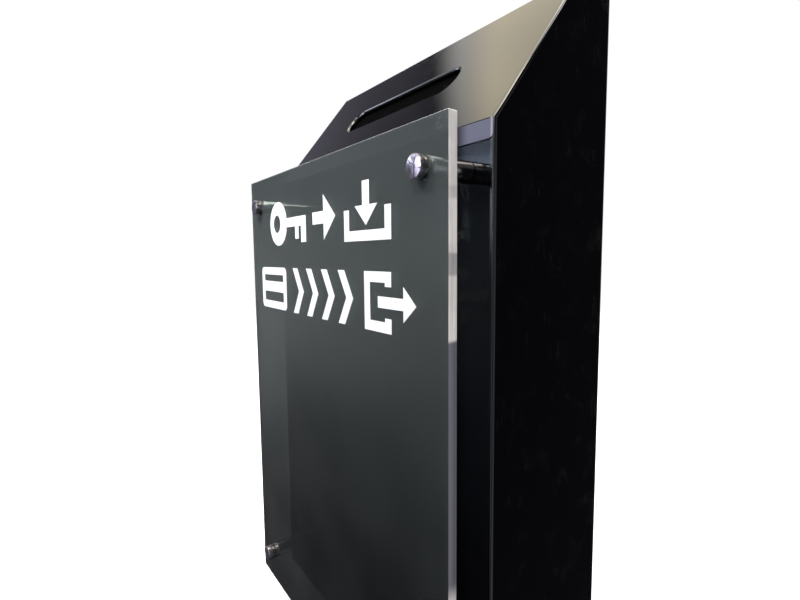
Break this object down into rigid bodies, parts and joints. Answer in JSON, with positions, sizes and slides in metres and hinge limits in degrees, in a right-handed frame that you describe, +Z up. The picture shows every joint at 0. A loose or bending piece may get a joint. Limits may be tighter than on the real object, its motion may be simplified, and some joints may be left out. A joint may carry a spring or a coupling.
{
  "type": "express checkout drop box",
  "caption": "Tall narrow drop box with a slotted sloping top, a lockable rear door, and a dark sign panel standing off its front on round metal spacers.",
  "frame": {"origin": "on the plane that the feet stand on, under the middle of the whole object's box in X and Y", "axes": "+Z up; the front with the sign faces -Y and the door faces +Y; +X to the right of a person facing the front"},
  "size_m": [0.24, 0.147, 0.4121],
  "materials": {
    "case_sheet": "high-gloss black sheet plastic, polished cut edges",
    "sign_sheet": "smoked grey-green clear sheet plastic, polished edges",
    "sign_print": "white cut film on the sign's face",
    "polished_steel": "polished",
    "plated_steel": "bright zinc plate",
    "painted_steel": "satin black",
    "key_nickel": "nickel-plated, worn",
    "foot_rubber": "matte",
    "pad_felt": "pressed felt"
  },
  "bodies": {
    "case": {"left_side_panel": "case_sheet", "right_side_panel": "case_sheet", "front_panel": "case_sheet", "sloped_panel": "case_sheet", "top_panel": "case_sheet", "bottom_panel": "case_sheet", "rear_panel": "case_sheet", "rear_left_corner_strip": "case_sheet", "rear_right_corner_strip": "case_sheet", "door_stop_top": "case_sheet", "door_stop_bottom": "case_sheet", "lock_strike": "case_sheet", "flap_bracket_left": "case_sheet", "flap_bracket_right": "case_sheet", "drop_pad": "pad_felt", "foot_front_left": "foot_rubber", "foot_front_right": "foot_rubber", "foot_rear_left": "foot_rubber", "foot_rear_right": "foot_rubber", "sign_panel": "sign_sheet", "standoff_cap_upper_left": "polished_steel", "standoff_barrel_upper_left": "polished_steel", "standoff_screw_upper_left": "plated_steel", "standoff_cap_upper_right": "polished_steel", "standoff_barrel_upper_right": "polished_steel", "standoff_screw_upper_right": "plated_steel", "hinge_upper_case_leaf": "plated_steel", "hinge_upper_pin": "plated_steel", "hinge_rivet_upper_case_top": "plated_steel", "hinge_rivet_upper_case_bottom": "plated_steel", "standoff_cap_lower_left": "polished_steel", "standoff_barrel_lower_left": "polished_steel", "standoff_screw_lower_left": "plated_steel", "standoff_cap_lower_right": "polished_steel", "standoff_barrel_lower_right": "polished_steel", "standoff_screw_lower_right": "plated_steel", "hinge_lower_case_leaf": "plated_steel", "hinge_lower_pin": "plated_steel", "hinge_rivet_lower_case_top": "plated_steel", "hinge_rivet_lower_case_bottom": "plated_steel", "flap_pin": "plated_steel"},
    "door": {"rear_door": "case_sheet", "lock_housing": "polished_steel", "lock_nut": "plated_steel", "hinge_upper_door_leaf": "plated_steel", "hinge_lower_door_leaf": "plated_steel", "hinge_rivet_upper_door_top": "plated_steel", "hinge_rivet_upper_door_bottom": "plated_steel", "hinge_rivet_lower_door_top": "plated_steel", "hinge_rivet_lower_door_bottom": "plated_steel"},
    "lock_plug": {"lock_plug": "polished_steel", "lock_cam": "plated_steel", "lock_cam_screw": "plated_steel"},
    "key": {"key": "key_nickel"},
    "flap": {"flap": "painted_steel", "flap_spring": "plated_steel"}
  },
  "joints": [
    {"name": "door_hinge", "type": "hinge", "parent": "case", "child": "door", "pos_m": [0.0886, 0.04802, 0.16], "axis": [0, 0, -1], "range_deg": [0, 180]},
    {"name": "lock_turn", "type": "hinge", "parent": "door", "child": "lock_plug", "pos_m": [-0.0722, 0.04537, 0.16], "axis": [0, 1, 0], "range_deg": [0, 90]},
    {"name": "key_pull", "type": "slide", "parent": "lock_plug", "child": "key", "axis": [0, 1, 0], "range_m": [0, 0.018]},
    {"name": "flap_hinge", "type": "hinge", "parent": "case", "child": "flap", "pos_m": [0, 0.004, 0.38289], "axis": [1, 0, 0], "range_deg": [0, 60], "stiffness_Nm_per_rad": 0.01, "springref_deg": -34.38}
  ]
}
